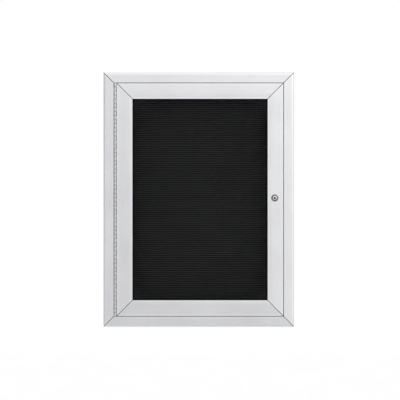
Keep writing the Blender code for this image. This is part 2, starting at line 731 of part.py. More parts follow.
def axis_empty(name, place, parent=None):
    """An empty on a joint's axis, which carries the pieces that move with it."""
    empty = bpy.data.objects.new(name, None)
    empty.location = Vector(place) - (parent.location if parent else Vector())
    empty.parent = parent
    PARTS.objects.link(empty)
    bpy.context.view_layer.update()
    return empty


def main():
    root = axis_empty("cabinet_origin", (0, 0, 0))
    door = axis_empty("door_axis", HINGE_AXIS)
    plug = axis_empty("lock_axis", LOCK_AXIS, door)
    cabinet_rails = build_cabinet_frame(root)
    build_back_panel(root, cabinet_rails)
    build_letter_board(root)
    build_clips(root, cabinet_rails)
    build_door_seal(root)
    door_rails = build_door_frame(door)
    build_window(door)
    build_hinge(root, door, cabinet_rails["left"], door_rails["left"])
    build_lock_case(door, door_rails["right"])
    build_lock_plug(plug)
    build_lock_cam(plug)


main()
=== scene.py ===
import itertools
import math

import bmesh
import bpy
from mathutils import Matrix, Vector


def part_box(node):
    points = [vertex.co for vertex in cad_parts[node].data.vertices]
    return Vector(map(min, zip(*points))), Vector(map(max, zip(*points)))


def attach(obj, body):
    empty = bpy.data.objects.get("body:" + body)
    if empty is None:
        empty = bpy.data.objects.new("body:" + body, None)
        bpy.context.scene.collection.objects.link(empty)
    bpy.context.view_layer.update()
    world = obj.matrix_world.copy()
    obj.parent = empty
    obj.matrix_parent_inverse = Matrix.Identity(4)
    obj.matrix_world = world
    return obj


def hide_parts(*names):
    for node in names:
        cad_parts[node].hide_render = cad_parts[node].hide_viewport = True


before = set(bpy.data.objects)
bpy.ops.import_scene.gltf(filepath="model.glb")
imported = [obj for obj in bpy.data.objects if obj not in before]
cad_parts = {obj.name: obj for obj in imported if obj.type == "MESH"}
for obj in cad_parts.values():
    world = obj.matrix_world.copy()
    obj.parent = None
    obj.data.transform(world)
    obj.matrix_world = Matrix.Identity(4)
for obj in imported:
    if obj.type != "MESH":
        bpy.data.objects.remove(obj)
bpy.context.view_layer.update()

# everything is in metres: X to the right, Y into the wall, Z up
tiny = 0.00001
shortestChamfered = 0.0011
drillReach = 0.03
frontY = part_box("cabinet_top_rail")[0].y

inwardOf = {"left": Vector((1, 0, 0)), "right": Vector((-1, 0, 0)),
            "bottom": Vector((0, 0, 1)), "top": Vector((0, 0, -1))}
memberOf = {"top": "top_rail", "bottom": "bottom_rail", "left": "hinge_stile", "right": "lock_stile"}


# Modelling helpers

def openMode(mode):
    bpy.ops.object.mode_set(mode=mode)


def clearSelection():
    if bpy.context.mode != "OBJECT":
        openMode("OBJECT")
    bpy.ops.object.select_all(action="DESELECT")


def choose(piece):
    clearSelection()
    piece.select_set(True)
    bpy.context.view_layer.objects.active = piece


def adopt(name):
    # the primitive just added gets its name, its size goes into its mesh, and edit mode opens
    piece = bpy.context.object
    piece.name = name
    piece.data.name = name
    bpy.ops.object.transform_apply(location=True, rotation=True, scale=True)
    openMode("EDIT")
    return piece


def startBox(name, low, high):
    clearSelection()
    middle = [(a + b) / 2 for a, b in zip(low, high)]
    bpy.ops.mesh.primitive_cube_add(size=1, location=middle, scale=[b - a for a, b in zip(low, high)])
    return adopt(name)


def startCylinder(name, radius, low, high, corners=48):
    clearSelection()
    bpy.ops.mesh.primitive_cylinder_add(vertices=corners, radius=radius, depth=high - low,
                                        location=(0, 0, (low + high) / 2))
    return adopt(name)


def startTube(name, width, depth, halfLength, wall):
    # a flat rectangle, hollowed by an inset, and run along Z
    clearSelection()
    bpy.ops.mesh.primitive_plane_add(size=1, location=(0.5, 0.5, -halfLength))
    piece = adopt(name)
    resize(width, depth)
    bpy.ops.mesh.inset(thickness=wall)
    bpy.ops.mesh.delete(type="FACE")
    selectAll()
    extrude(0, 0, 2 * halfLength)
    return piece


def selectAll(how="SELECT"):
    bpy.ops.mesh.select_all(action=how)


def editMesh():
    return bmesh.from_edit_mesh(bpy.context.edit_object.data)


def showPicked():
    bmesh.update_edit_mesh(bpy.context.edit_object.data, loop_triangles=False, destructive=False)


def pickOnly(kind, test):
    bpy.ops.mesh.select_mode(type=kind)
    selectAll("DESELECT")
    shape = editMesh()
    for part in shape.faces if kind == "FACE" else shape.edges:
        if test(part):
            part.select_set(True)
    showPicked()


def pickFaces(test):
    # the faces whose middle and normal pass the test
    editMesh().normal_update()
    pickOnly("FACE", lambda face: test(face.calc_center_median(), face.normal))


def pickEdges(test):
    # the edges whose two ends pass the test
    pickOnly("EDGE", lambda edge: test(edge.verts[0].co, edge.verts[1].co))


def across(axis, at):
    # the test for the faces that lie square across an axis at one place
    return lambda c, n: abs(c[axis] - at) < tiny and abs(n[axis]) > 0.9


def pickEdgesAt(x=None, y=None, z=None):
    asked = [(axis, value) for axis, value in enumerate((x, y, z)) if value is not None]
    pickEdges(lambda a, b: all(abs(p[axis] - value) < tiny for p in (a, b) for axis, value in asked))


def extrude(x, y, z):
    bpy.ops.mesh.extrude_region_move(TRANSFORM_OT_translate={"value": (x, y, z)})


def roundOff(radius, segments, profile=0.5):
    bpy.ops.mesh.bevel(offset=radius, segments=segments, profile=profile, affect="EDGES", clamp_overlap=True)


def roundEdgesAt(radius, segments, profile=0.5, **place):
    pickEdgesAt(**place)
    roundOff(radius, segments, profile)


def resize(x, y, z=1, about=(0, 0, 0)):
    bpy.ops.transform.resize(value=(x, y, z), center_override=about)


def shift(x, y, z):
    bpy.ops.transform.translate(value=(x, y, z))


def cutSelected(point, normal):
    bpy.ops.mesh.bisect(plane_co=point, plane_no=normal, threshold=tiny / 10)


def trim(point, normal):
    # takes off all that lies past a plane and closes the cut
    selectAll()
    bpy.ops.mesh.bisect(plane_co=point, plane_no=normal, use_fill=True, clear_outer=True, threshold=tiny / 10)


def pullStrip(axis, at, otherAxis, low, high, by):
    # marks off a strip of a flat side between two places, and pulls it out
    facing, move = [0, 0, 0], [0, 0, 0]
    facing[otherAxis] = 1
    move[axis] = by
    onSide = across(axis, at)
    for place in (low, high):
        pickFaces(onSide)
        cutSelected([place * f for f in facing], facing)
    pickFaces(lambda c, n: onSide(c, n) and low - tiny < c[otherAxis] < high + tiny)
    extrude(*move)


def tidyMesh():
    selectAll()
    bpy.ops.mesh.remove_doubles(threshold=tiny / 10)
    bpy.ops.mesh.normals_make_consistent(inside=False)
    openMode("OBJECT")


def applyModifier(piece, kind, **settings):
    choose(piece)
    modifier = piece.modifiers.new(kind.lower(), kind)
    for name, value in settings.items():
        setattr(modifier, name, value)
    bpy.ops.object.modifier_apply(modifier=modifier.name)


def repeatUp(piece, count, step, **settings):
    applyModifier(piece, "ARRAY", count=count, use_relative_offset=False, use_constant_offset=True,
                  constant_offset_displace=(0, 0, step), **settings)


def combine(piece, tool, operation="DIFFERENCE"):
    applyModifier(piece, "BOOLEAN", object=tool, operation=operation, solver="EXACT")
    bpy.data.objects.remove(tool)


def softenEdges(piece, width, angle):
    applyModifier(piece, "BEVEL", width=width, segments=2, limit_method="ANGLE",
                  angle_limit=math.radians(angle), use_clamp_overlap=True)


def putAt(piece, placement):
    choose(piece)
    piece.matrix_world = placement
    bpy.ops.object.transform_apply(location=True, rotation=True, scale=True)


def drillHole(piece, radius, low, high, corners=48, place=None):
    drill = startCylinder("drill", radius, low, high, corners)
    tidyMesh()
    if place is not None:
        putAt(drill, place)
    combine(piece, drill)


def copyOf(piece, name):
    choose(piece)
    bpy.ops.object.duplicate(linked=False)
    made = bpy.context.object
    made.name = name
    made.data.name = name
    return made


def finishPiece(piece, body, finish, nodes, smooth=35):
    choose(piece)
    bpy.ops.object.shade_smooth_by_angle(angle=math.radians(smooth))
    applyModifier(piece, "WEIGHTED_NORMAL", keep_sharp=True, weight=100)
    piece.data.materials.clear()
    piece.data.materials.append(finish)
    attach(piece, body)
    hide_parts(*nodes)
    piece.select_set(False)


def sidePlace(side, box):
    # X runs in from that side's outer edge, Y is the depth from the front, Z runs along it
    low, high = box
    upright = side in ("left", "right")
    middle = (low + high) / 2
    edge = {"left": low.x, "right": high.x, "bottom": low.z, "top": high.z}[side]
    place = Vector((edge, frontY, middle.z)) if upright else Vector((middle.x, frontY, edge))
    inward, back = inwardOf[side], Vector((0, 1, 0))
    turn = Matrix((inward, back, inward.cross(back))).transposed().to_4x4()
    return Matrix.Translation(place) @ turn


def halfLengthOf(side, box):
    low, high = box
    return (high.z - low.z) / 2 if side in ("left", "right") else (high.x - low.x) / 2


def wholeBox(prefix):
    corners = [corner for member in memberOf.values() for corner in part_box(f"{prefix}_{member}")]
    return (Vector(map(min, *corners)), Vector(map(max, *corners)))


def shrink(box, by):
    low, high = box
    return (low + Vector((by, 0, by)), high - Vector((by, 0, by)))


def breakMitreEdges(chamfer, deepest):
    # the sawn ends' edges on the front and the outer side, which catch the light beside the mitre line
    def onEnd(a, b):
        return (abs(abs(a.z) + a.x - abs(b.z) - b.x) < tiny and a.z * b.z > 0
                and abs(abs(a.z) + a.x - reach) < tiny)
    reach = max(abs(vertex.co.z) + vertex.co.x for vertex in editMesh().verts)
    pickEdges(lambda a, b: onEnd(a, b) and max(a.y, b.y) < deepest and (a - b).length > shortestChamfered)
    roundOff(chamfer, 1)


def endStrip(strip, side, box, size):
    # saws the mitres of a strip along Z, and puts it on its side of the frame
    half = halfLengthOf(side, box)
    for end in (-1, 1):
        trim((0, 0, end * (half - size["mitreGap"] / math.sqrt(2))), (1, 0, end))
    if "mitreChamfer" in size:
        breakMitreEdges(size["mitreChamfer"], size["chamferDepth"])
    tidyMesh()
    putAt(strip, sidePlace(side, box))
    return strip


cabinetBox = wholeBox("cabinet")
doorBox = wholeBox("door")


# Materials: every pattern is on Object coordinates, in metres

def addNode(tree, kind, settings={}, sockets={}):
    node = tree.nodes.new(kind)
    for name, value in settings.items():
        setattr(node, name, value)
    for name, value in sockets.items():
        if isinstance(value, bpy.types.NodeSocket):
            tree.links.new(value, node.inputs[name])
        else:
            node.inputs[name].default_value = value
    return node


def startMaterial(name, shaderValues):
    material = bpy.data.materials.new(name)
    material.use_nodes = True
    tree = material.node_tree
    shader = tree.nodes["Principled BSDF"]
    for socket, value in shaderValues.items():
        shader.inputs[socket].default_value = value
    return material, tree, shader


def dress(tree, shader, colour, roughness, normal):
    for socket, value in (("Base Color", colour), ("Roughness", roughness), ("Normal", normal)):
        tree.links.new(value, shader.inputs[socket])


def objectPlace(tree):
    return addNode(tree, "ShaderNodeTexCoord").outputs["Object"]


def splitUp(tree, vector):
    return addNode(tree, "ShaderNodeSeparateXYZ", {}, {"Vector": vector}).outputs


def noise(tree, scale, detail, rough, offset=(0, 0, 0)):
    # scale is how many patches there are in a metre, one number or one each for X, Y and Z
    each = (scale, scale, scale) if isinstance(scale, float) else scale
    mapping = addNode(tree, "ShaderNodeMapping", {},
                      {"Vector": objectPlace(tree), "Location": offset, "Scale": each})
    made = addNode(tree, "ShaderNodeTexNoise", {},
                   {"Vector": mapping.outputs[0], "Scale": 1.0, "Detail": detail, "Roughness": rough})
    return made.outputs["Fac"]


def remap(tree, value, low, high, start=0.3, end=0.7):
    made = addNode(tree, "ShaderNodeMapRange", {},
                   {"Value": value, "From Min": start, "From Max": end, "To Min": low, "To Max": high})
    return made.outputs["Result"]


def ramp(tree, value, stops):
    made = addNode(tree, "ShaderNodeValToRGB", {}, {"Fac": value})
    points = made.color_ramp.elements
    while len(points) < len(stops):
        points.new(0.5)
    for point, (place, colour) in zip(points, stops):
        point.position = place
        point.color = (*colour, 1)
    return made.outputs["Color"]


def twoTone(tree, value, first, second):
    return ramp(tree, value, [(0.3, first), (0.7, second)])


def arithmetic(tree, operation, first, second):
    made = addNode(tree, "ShaderNodeMath", {"operation": operation})
    for socket, value in zip(made.inputs, (first, second)):
        if isinstance(value, bpy.types.NodeSocket):
            tree.links.new(value, socket)
        else:
            socket.default_value = value
    return made.outputs[0]


def blendColours(tree, factor, first, second, how="MIX"):
    made = addNode(tree, "ShaderNodeMix", {"data_type": "RGBA", "blend_type": how})
    for index, value in ((0, factor), (6, first), (7, second)):
        if isinstance(value, bpy.types.NodeSocket):
            tree.links.new(value, made.inputs[index])
        else:
            made.inputs[index].default_value = value if index == 0 else (*value, 1)
    return made.outputs[2]


def multiplied(tree, first, second):
    return blendColours(tree, 1.0, first, second, "MULTIPLY")


def bump(tree, height, strength, distance, under=None):
    sockets = {"Height": height, "Strength": strength, "Distance": distance}
    if under:
        sockets["Normal"] = under
    return addNode(tree, "ShaderNodeBump", {}, sockets).outputs["Normal"]


def shaded(colour, by):
    return tuple(channel * by for channel in colour)


def grey(level):
    return (level, level, level)


def gapBetween(tree, first, second):
    return arithmetic(tree, "ABSOLUTE", arithmetic(tree, "SUBTRACT", first, second), 0.0)


def edgeDistances(tree, side, box, edges):
    # how far a place is from the frame's mitres, and from the nearest of the member's own edges
    low, high = box
    split = splitUp(tree, objectPlace(tree))
    inside = {}
    for axis, number in (("X", 0), ("Z", 2)):
        fromMiddle = gapBetween(tree, split[axis], (low[number] + high[number]) / 2)
        inside[axis] = arithmetic(tree, "SUBTRACT", (high[number] - low[number]) / 2, fromMiddle)
    mitre = arithmetic(tree, "MULTIPLY", gapBetween(tree, inside["X"], inside["Z"]), math.sqrt(0.5))
    fromOuter = inside["X" if side in ("left", "right") else "Z"]
    own = [gapBetween(tree, fromOuter, edge) for edge in edges]
    nearest = own[0] if len(own) == 1 else arithmetic(tree, "MINIMUM", *own)
    return mitre, nearest


# painted light at the mitres, a painted highlight beside each joint and painted shade in its gap: how much,
# in what colour and how far from the joint
mitrePaintedLight = {"paintedHighlight": 0.85, "highlightTone": (0.985, 0.986, 0.995), "highlightReach": (0.0014, 0.0027),
             "paintedShadeTone": (0.035, 0.035, 0.037), "paintedShadeReach": (0.00058, 0.00090)}


def satinAluminium(name, along, tone, roughness, member=None):
    # clear-anodised extrusion: fine drawn grain along its length, faint cloudiness, few rubbed specks
    material, tree, shader = startMaterial(name, {"Metallic": 1.0})
    fine, broad = [2600.0] * 3, [240.0] * 3
    fine[along], broad[along] = 22.0, 1.6
    grain = noise(tree, fine, 3.0, 0.6)
    bands = noise(tree, broad, 2.0, 0.5, (3.1, 1.7, 0.4))
    cloud = noise(tree, 9.0, 3.0, 0.55, (1.3, 0.2, 2.6))
    specks = noise(tree, 700.0, 1.0, 0.5, (5.0, 2.0, 1.0))
    grainTone = ramp(tree, grain, [(0.25, shaded(tone, 0.955)), (0.75, shaded(tone, 1.035))])
    cloudTone = twoTone(tree, cloud, (0.975, 0.975, 0.98), grey(1.0))
    bandTone = twoTone(tree, bands, grey(0.985), grey(1.0))
    colour = multiplied(tree, grainTone, cloudTone)
    colour = multiplied(tree, colour, bandTone)
    speckMask = remap(tree, specks, 0.0, 0.12, 0.70, 0.80)
    colour = blendColours(tree, speckMask, colour, shaded(tone, 0.62))
    if member:
        paintedLight = mitrePaintedLight
        mitre, nearest = edgeDistances(tree, member["side"], member["box"], member["edges"])
        # painted highlight: a lighter band beside each mitre and along the member's listed edges
        paintedHighlight = arithmetic(tree, "MAXIMUM", remap(tree, mitre, paintedLight["paintedHighlight"], 0.0, *paintedLight["highlightReach"]),
                            remap(tree, nearest, member["paintedHighlight"], 0.0, *member["reach"]))
        colour = blendColours(tree, paintedHighlight, colour, paintedLight["highlightTone"])
        # painted shade: the mitre gap and the arrises beside it are darkened
        paintedShade = remap(tree, mitre, 1.0, 0.0, *paintedLight["paintedShadeReach"])
        colour = blendColours(tree, paintedShade, colour, paintedLight["paintedShadeTone"])
    uneven = arithmetic(tree, "ADD", remap(tree, grain, -0.03, 0.03), remap(tree, cloud, -0.025, 0.025))
    dress(tree, shader, colour, arithmetic(tree, "ADD", uneven, roughness),
          bump(tree, grain, 0.16, 0.00003, bump(tree, bands, 0.05, 0.0004)))
    return material


def darkPressing(name):
    # oiled steel pressing, for the keys inside the corners
    material, tree, shader = startMaterial(name, {"Metallic": 1.0})
    grit = noise(tree, 1400.0, 4.0, 0.65)
    patch = noise(tree, 60.0, 3.0, 0.5)
    colour = twoTone(tree, patch, (0.050, 0.050, 0.053), (0.085, 0.085, 0.090))
    dress(tree, shader, colour, remap(tree, grit, 0.45, 0.65), bump(tree, grit, 0.4, 0.0001))
    return material


def zincPlate(name):
    # bright zinc with its faint bluish and straw patches
    material, tree, shader = startMaterial(name, {"Metallic": 1.0})
    patch = noise(tree, 320.0, 3.0, 0.5)
    grit = noise(tree, 5200.0, 2.0, 0.6)
    colour = ramp(tree, patch, [(0.28, (0.55, 0.58, 0.62)), (0.50, grey(0.64)),
                                (0.74, (0.66, 0.63, 0.56))])
    dress(tree, shader, colour, remap(tree, grit, 0.26, 0.40), bump(tree, grit, 0.25, 0.00004))
    return material


def lockChrome(name, tone, dullness, keyway=None):
    # plating with hairlines from keys and fingers, and painted shade in the keyway between two depths
    material, tree, shader = startMaterial(name, {"Metallic": 1.0})
    smear = noise(tree, 240.0, 3.0, 0.55)
    hairs = noise(tree, (9000.0, 9000.0, 420.0), 2.0, 0.5, (0.4, 0.9, 0.1))
    colour = twoTone(tree, smear, shaded(tone, 0.93), tone)
    if keyway:
        start, end = keyway
        # painted shade: the keyway's walls turn near black between the two depths
        deep = splitUp(tree, objectPlace(tree))["Y"]
        paintedShade = arithmetic(tree, "MULTIPLY", remap(tree, deep, 0.0, 1.0, start, start + 0.0007),
                          remap(tree, deep, 1.0, 0.0, end, end + 0.002))
        colour = blendColours(tree, paintedShade, colour, (0.020, 0.019, 0.018))
    scratched = remap(tree, hairs, 0.0, 0.05, 0.5, 0.75)
    uneven = arithmetic(tree, "ADD", remap(tree, smear, -0.02, 0.06), scratched)
    dress(tree, shader, colour, arithmetic(tree, "ADD", uneven, dullness), bump(tree, hairs, 0.08, 0.00002))
    return material


def windowGlass(name):
    # clear pane with the faintest film on it; rays from the lamps go straight through
    material, tree, shader = startMaterial(
        name, {"Transmission Weight": 1.0, "IOR": 1.38, "Base Color": (0.97, 0.985, 0.98, 1)})
    film = noise(tree, (14.0, 14.0, 9.0), 4.0, 0.6)
    tree.links.new(remap(tree, film, 0.0, 0.035, 0.45, 0.75), shader.inputs["Roughness"])
    tone = twoTone(tree, film, (0.965, 0.985, 0.978), (0.985, 0.992, 0.99))
    tree.links.new(tone, shader.inputs["Base Color"])
    path = addNode(tree, "ShaderNodeLightPath")
    through = arithmetic(tree, "MAXIMUM", path.outputs["Is Shadow Ray"], path.outputs["Is Diffuse Ray"])
    clear = addNode(tree, "ShaderNodeBsdfTransparent", {}, {"Color": (0.95, 0.97, 0.96, 1)})
    mix = addNode(tree, "ShaderNodeMixShader", {}, {0: through, 1: shader.outputs[0], 2: clear.outputs[0]})
    tree.links.new(mix.outputs[0], tree.nodes["Material Output"].inputs["Surface"])
    return material


def gasketRubber(name):
    material, tree, shader = startMaterial(name, {"Specular IOR Level": 0.07})
    grit = noise(tree, 2600.0, 3.0, 0.6)
    bloom = noise(tree, 45.0, 3.0, 0.55)
    colour = ramp(tree, bloom, [(0.3, (0.0022, 0.0022, 0.0024)), (0.75, (0.0050, 0.0050, 0.0053))])
    dress(tree, shader, colour, remap(tree, grit, 0.55, 0.72), bump(tree, grit, 0.2, 0.00006))
    return material


def sealFoam(name):
    # closed-cell foam strip
    material, tree, shader = startMaterial(name, {"Specular IOR Level": 0.2})
    cells = addNode(tree, "ShaderNodeTexVoronoi", {"feature": "DISTANCE_TO_EDGE"},
                    {"Vector": objectPlace(tree), "Scale": 2400.0})
    wall = remap(tree, cells.outputs["Distance"], 1.0, 0.0, 0.02, 0.22)
    patch = noise(tree, 70.0, 2.0, 0.5)
    dark = twoTone(tree, patch, (0.017, 0.017, 0.018), (0.027, 0.027, 0.028))
    colour = blendColours(tree, remap(tree, wall, 0.0, 0.5, 0.0, 1.0), dark, (0.055, 0.055, 0.056))
    dress(tree, shader, colour, remap(tree, patch, 0.82, 0.95), bump(tree, wall, 0.6, 0.00012))
    return material


def letterFelt(name, dark, light):
    # flocked cloth over the ridges: short fibres, lint, worn a shade lighter in patches
    material, tree, shader = startMaterial(
        name, {"Specular IOR Level": 0.12, "Sheen Weight": 0.05, "Sheen Roughness": 0.5})
    fibre = noise(tree, (1100.0, 3200.0, 3200.0), 4.0, 0.7)
    nap = noise(tree, 170.0, 3.0, 0.6, (2.0, 0.0, 4.0))
    worn = noise(tree, (6.0, 6.0, 9.0), 3.0, 0.5, (0.7, 0.1, 0.3))
    lint = noise(tree, (900.0, 900.0, 260.0), 2.0, 0.5, (7.0, 3.0, 1.0))
    colour = twoTone(tree, fibre, dark, light)
    napTone = twoTone(tree, nap, grey(0.82), grey(1.0))
    wornTone = twoTone(tree, worn, grey(0.90), grey(1.0))
    colour = multiplied(tree, colour, napTone)
    colour = multiplied(tree, colour, wornTone)
    # hardly any light gets down between the ridges
    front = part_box("letter_board")[0].y
    deep = remap(tree, splitUp(tree, objectPlace(tree))["Y"], 0.0, 1.0, front + 0.0006, front + 0.0026)
    grooveTone = ramp(tree, deep, [(0.0, grey(1.0)), (1.0, grey(0.03))])
    colour = multiplied(tree, colour, grooveTone)
    lintMask = remap(tree, lint, 0.0, 0.35, 0.78, 0.86)
    colour = blendColours(tree, lintMask, colour, grey(0.050))
    dress(tree, shader, colour, remap(tree, nap, 0.86, 0.98),
          bump(tree, fibre, 0.7, 0.0002, bump(tree, nap, 0.25, 0.0004)))
    return material


def hardboard(name):
    # pressed wood fibre with the screen's print on its rough side
    material, tree, shader = startMaterial(name, {"Specular IOR Level": 0.25})
    fibre = noise(tree, 420.0, 5.0, 0.7)
    patch = noise(tree, 18.0, 4.0, 0.6)
    flecks = noise(tree, (160.0, 400.0, 520.0), 2.0, 0.5, (4.0, 0.0, 9.0))
    colour = ramp(tree, fibre, [(0.28, (0.115, 0.062, 0.030)), (0.52, (0.205, 0.120, 0.062)),
                                (0.76, (0.300, 0.190, 0.108))])
    patchTone = twoTone(tree, patch, (0.82, 0.80, 0.78), grey(1.0))
    colour = multiplied(tree, colour, patchTone)
    colour = blendColours(tree, remap(tree, flecks, 0.0, 0.6, 0.66, 0.78), colour, (0.055, 0.030, 0.016))
    threads = [addNode(tree, "ShaderNodeTexWave", {"wave_type": "BANDS", "bands_direction": axis},
                       {"Vector": objectPlace(tree), "Scale": 190.0, "Distortion": 0.6, "Detail": 1.0})
               for axis in ("X", "Z")]
    screen = arithmetic(tree, "MULTIPLY", threads[0].outputs["Fac"], threads[1].outputs["Fac"])
    dress(tree, shader, colour, remap(tree, fibre, 0.62, 0.86),
          bump(tree, fibre, 0.5, 0.0003, bump(tree, screen, 0.35, 0.0002)))
    return material


tones = {
    # painted light: the frame members are lighter and darker copies of one anodised tone, the right and top
    # lighter and the left and bottom darker, as if lit from the upper right
    "top": (0.910, 0.912, 0.931),
    "bottom": (0.838, 0.841, 0.860),
    "left": (0.880, 0.883, 0.905),
    "right": (0.936, 0.939, 0.957),
    "roughness": 0.36,
    "hinge": (0.745, 0.750, 0.795),
    # painted light: the bezel is a shaded copy of the lock's chrome, toned dark for the dark ring it
    # reflects, and the plug is a lit copy, toned light for its highlights
    "bezel": (0.21, 0.21, 0.22),
    "plug": (0.92, 0.92, 0.93),
    "feltDark": grey(0.0205),
    "feltLight": grey(0.0430),
}
# the edges that get a painted highlight, from each frame's outer side, with how much and how far
frameEdgeHighlight = {"edges": [0.0248], "paintedHighlight": 0.45, "reach": (0.0012, 0.0026)}
doorEdgeHighlight = {"edges": [0.0000, 0.0375], "paintedHighlight": 0.55, "reach": (0.0030, 0.0042)}


def sideFinishes(name, box, paintedLight):
    grainAxis = {"left": 2, "right": 2, "top": 0, "bottom": 0}
    return {side: satinAluminium(f"{name}_{side}", grainAxis[side], tones[side], tones["roughness"],
                                 {**paintedLight, "side": side, "box": box}) for side in memberOf}


frameFinish = sideFinishes("satinAluminium", cabinetBox, frameEdgeHighlight)
doorFinish = sideFinishes("satinDoor", doorBox, doorEdgeHighlight)
hingeFinish = satinAluminium("hingeAluminium", 2, tones["hinge"], 0.27)
keyFinish = darkPressing("oiledSteel")
zincFinish = zincPlate("zincPlatedSteel")
bezelFinish = lockChrome("lockChrome", tones["bezel"], 0.07)
plugFinish = lockChrome("lockPlugChrome", tones["plug"], 0.22, (frontY - 0.0017, frontY + 0.0080))
glassFinish = windowGlass("windowGlass")
rubberFinish = gasketRubber("gasketRubber")
foamFinish = sealFoam("sealFoam")
feltFinish = letterFelt("letterFelt", tones["feltDark"], tones["feltLight"])
boardFinish = hardboard("hardboard")
print("materials ready")


# Cabinet frame

cabinetRail = {
    "face": 0.0248, "depth": 0.0508, "wall": 0.0016,
    "edgeWidth": 0.0062, "edgeDepth": 0.0042, "revealRadius": 0.0004, "backRadius": 0.0005,
    "flangeRadius": 0.0004,
    "stop": (0.0225, 0.0241, 0.0120),      # front, back and reach of the door stop
    "rear": (0.0457, 0.0473, 0.0160),      # the same for the flange that holds the board
    "mitreGap": 0.0006, "mitreChamfer": 0.0003, "chamferDepth": 0.004,
}


def stretchDepth(by):
    selectAll()
    resize(1, by)


def cabinetMember(side):
    size = cabinetRail
    face, depth, wall = size["face"], size["depth"], size["wall"]
    rail = startTube(f"cabinet_frame_{side}", face, depth, halfLengthOf(side, cabinetBox), wall)
    for front, back, reach in (size["stop"], size["rear"]):
        pullStrip(0, face, 1, front, back, reach)
        for edge in (front, back):
            roundEdgesAt(size["flangeRadius"], 2, x=face + reach, y=edge)
    roundEdgesAt(size["revealRadius"], 3, x=face, y=0)
    roundEdgesAt(size["backRadius"], 2, x=0, y=depth)
    # the outer edge is wider on the front than on the side, so it's rounded while the section is stretched
    stretch = size["edgeWidth"] / size["edgeDepth"]
    stretchDepth(stretch)
    roundEdgesAt(size["edgeWidth"], 10, x=0, y=0)
    roundEdgesAt(size["edgeWidth"] - wall, 6, x=wall, y=wall * stretch)
    stretchDepth(1 / stretch)
    return endStrip(rail, side, cabinetBox, size)


for side, member in memberOf.items():
    rail = cabinetMember(side)
    finishPiece(rail, "cabinet", frameFinish[side], [f"cabinet_{member}"])
print("cabinet frame made")


# Door frame

doorRail = {
    "face": 0.0375, "depth": 0.0190, "wall": 0.0018,
    "pocket": 0.0075,                      # how far the glazing pocket reaches under the front
    "frontLip": 0.0024, "rearLip": (0.0096, 0.0112, 0.0060),
    "edgeRadius": 0.0004, "sightRadius": 0.0008, "fallWidth": 0.0150, "fall": 0.0004,
    "beadWidth": 0.0040, "beadGroove": 0.0004, "beadGrooveDepth": 0.0003,
    "mitreGap": 0.0006, "mitreChamfer": 0.0002, "chamferDepth": 0.0022, "lockHole": 0.0073,
}
lockAxis = (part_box("lock_plug")[0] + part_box("lock_plug")[1]) / 2
facingFront = Matrix.Rotation(math.radians(90), 4, "X")
lockPlace = Matrix.Translation((lockAxis.x, frontY, lockAxis.z)) @ facingFront


def doorMember(side):
    size, face = doorRail, doorRail["face"]
    tube = face - size["pocket"]
    rail = startTube(f"door_frame_{side}", tube, size["depth"], halfLengthOf(side, doorBox), size["wall"])
    pullStrip(0, tube, 1, 0, size["frontLip"], size["pocket"])
    front, back, reach = size["rearLip"]
    pullStrip(0, tube, 1, front, back, reach)
    bead = face - size["beadWidth"]
    pullStrip(1, 0, 0, bead - size["beadGroove"], bead, size["beadGrooveDepth"])
    roundEdgesAt(size["edgeRadius"], 3, x=0, y=0)
    # the face falls away a little towards the bead at the opening
    pickFaces(across(1, 0))
    cutSelected((face - size["fallWidth"], 0, 0), (1, 0, 0))
    for x in (bead - size["beadGroove"], bead, face):
        pickEdges(lambda a, b: abs(a.x - x) < tiny and abs(b.x - x) < tiny
                  and max(a.y, b.y) < 2 * size["fall"])
        shift(0, size["fall"], 0)
    roundEdgesAt(size["sightRadius"], 6, x=face, y=size["fall"])
    if side == "right":
        # the lock's hole is drilled while the ends are still square
        tidyMesh()
        place = sidePlace(side, doorBox).inverted() @ lockPlace
        drillHole(rail, size["lockHole"], -drillReach, drillReach, place=place)
        openMode("EDIT")
    return endStrip(rail, side, doorBox, size)


for side, member in memberOf.items():
    rail = doorMember(side)
    finishPiece(rail, "door", doorFinish[side], [f"door_{member}"])
print("door frame made")


# Window gasket, seen as a thin black line inside the door frame

gasket = {"fromEdge": 0.0303, "wall": 0.0014, "front": 0.0027, "back": 0.0093, "sight": 0.0102,
          "hidden": 0.0057, "lipRadius": 0.0005, "mitreGap": 0.0002}
gasketBox = shrink(doorBox, gasket["fromEdge"])


def gasketStrip(side):
    size, wall, half = gasket, gasket["wall"], halfLengthOf(side, gasketBox)
    strip = startBox(f"glazing_gasket_{side}", (0, size["front"], -half), (wall, size["back"], half))
    pullStrip(0, wall, 1, size["front"], size["front"] + wall, size["sight"] - wall)
    pullStrip(0, wall, 1, size["back"] - wall, size["back"], size["hidden"] - wall)
    for depth in (size["front"], size["front"] + wall):
        roundEdgesAt(size["lipRadius"], 3, x=size["sight"], y=depth)
    return endStrip(strip, side, gasketBox, size)


for side in memberOf:
    finishPiece(gasketStrip(side), "door", rubberFinish, [f"window_gasket_{side}"])
print("window gasket made")


# Door seal, half-round foam on the door stop

seal = {"fromEdge": 0.0318, "width": 0.0045, "base": 0.0222, "thickness": 0.0029, "corners": 28,
        "mitreGap": 0.0002}
sealBox = shrink(cabinetBox, seal["fromEdge"])


def sealStrip(side):
    size, half = seal, halfLengthOf(side, sealBox)
    strip = startCylinder(f"foam_seal_{side}", 1.0, -half, half, size["corners"])
    trim((0, 0, 0), (0, 1, 0))
    selectAll()
    resize(size["width"] / 2, size["thickness"])
    shift(size["width"] / 2, size["base"], 0)
    return endStrip(strip, side, sealBox, size)


for side in memberOf:
    finishPiece(sealStrip(side), "cabinet", foamFinish, [f"door_seal_{side}"])
print("door seal made")


# Letter board: one ridge is modelled and repeated down the board

board = {"pitch": 0.0052, "groove": 0.0021, "ridge": 0.0034, "crown": 0.0008, "crownSteps": 4}


